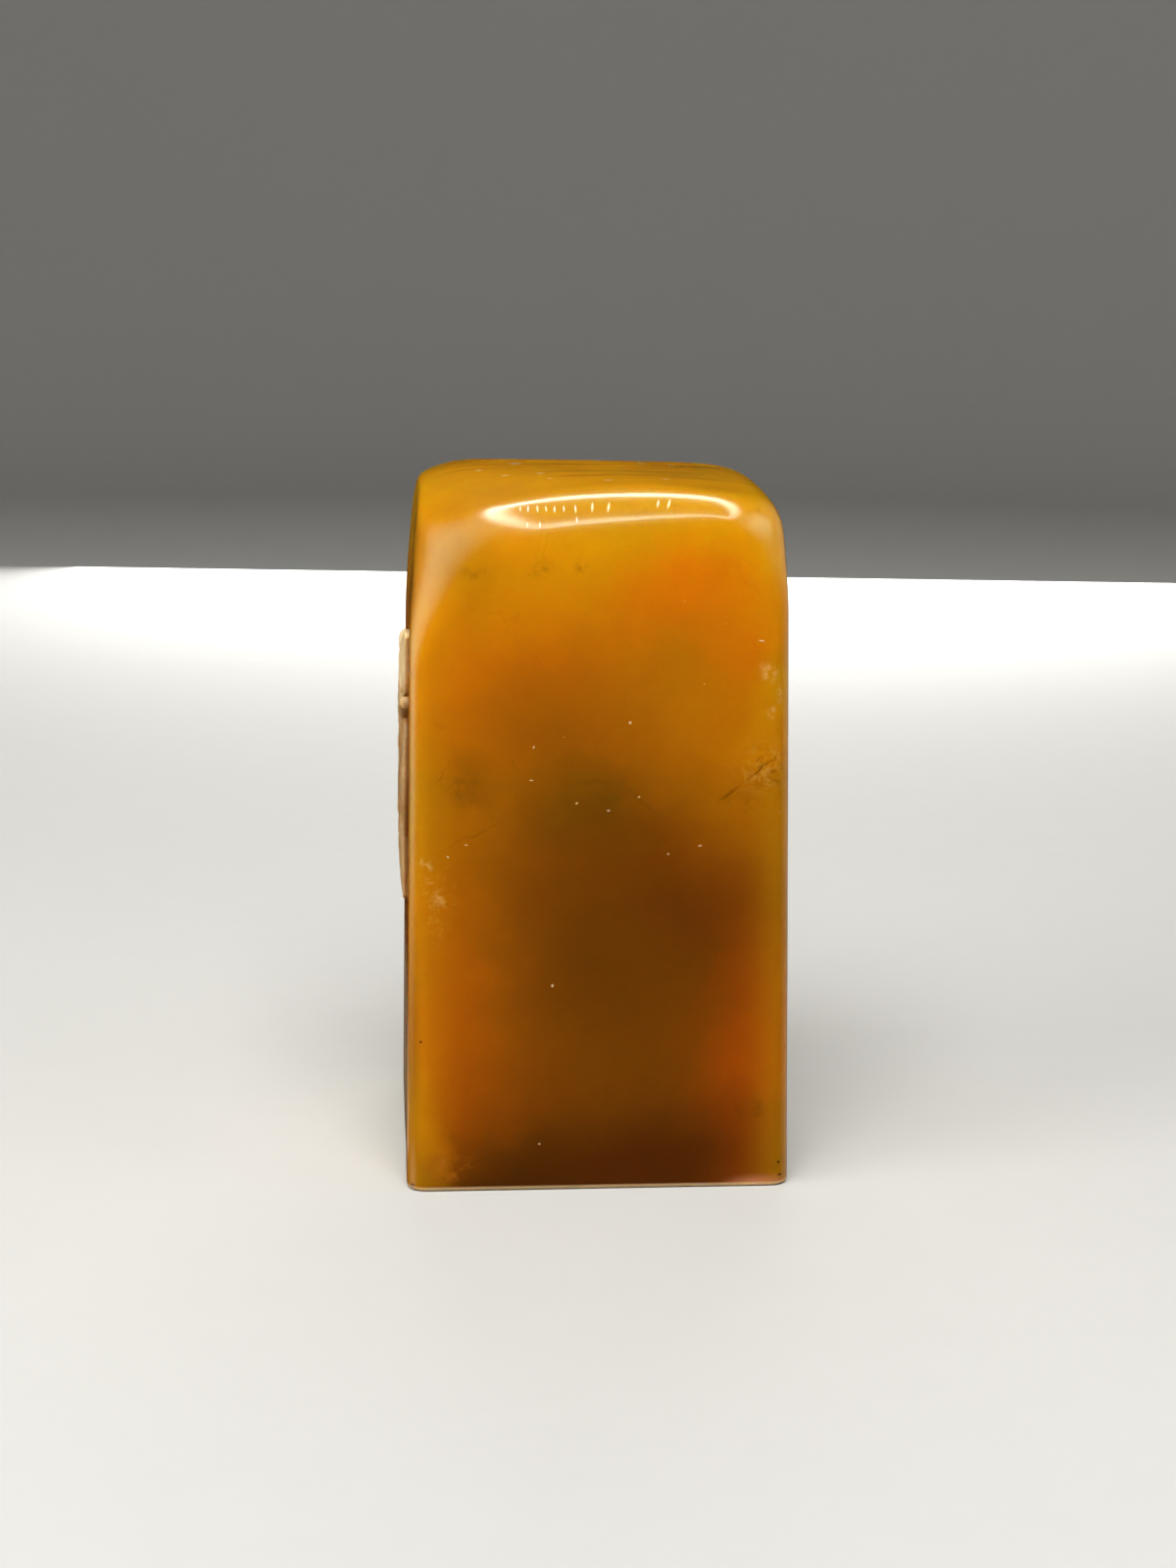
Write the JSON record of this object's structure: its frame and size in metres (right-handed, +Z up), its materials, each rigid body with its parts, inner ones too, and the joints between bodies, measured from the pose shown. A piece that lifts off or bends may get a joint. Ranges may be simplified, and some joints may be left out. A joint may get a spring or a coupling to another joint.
{
  "type": "seal stamp",
  "caption": "Square hand seal of polished amber stone with a cushioned crown, a leafy relief on one side face and a fret engraved print face.",
  "frame": {"origin": "middle of the print face that the seal stands on", "axes": "+Z up through the block to its crown, -Y out of the plain front face, -X out of the carved face"},
  "size_m": [0.0265, 0.026, 0.0477],
  "materials": {
    "amber_stone": "polished, slightly translucent",
    "pale_skin": "carved, satin"
  },
  "bodies": {
    "root": {"stone_block": "amber_stone", "relief_branch": "pale_skin", "relief_leaf_large": "pale_skin", "relief_leaf_upper": "pale_skin", "relief_leaf_side": "pale_skin", "relief_leaf_small": "pale_skin", "relief_leaf_young": "pale_skin", "relief_bud": "pale_skin", "relief_berry_cluster": "pale_skin", "relief_tendril": "pale_skin"}
  },
  "joints": []
}
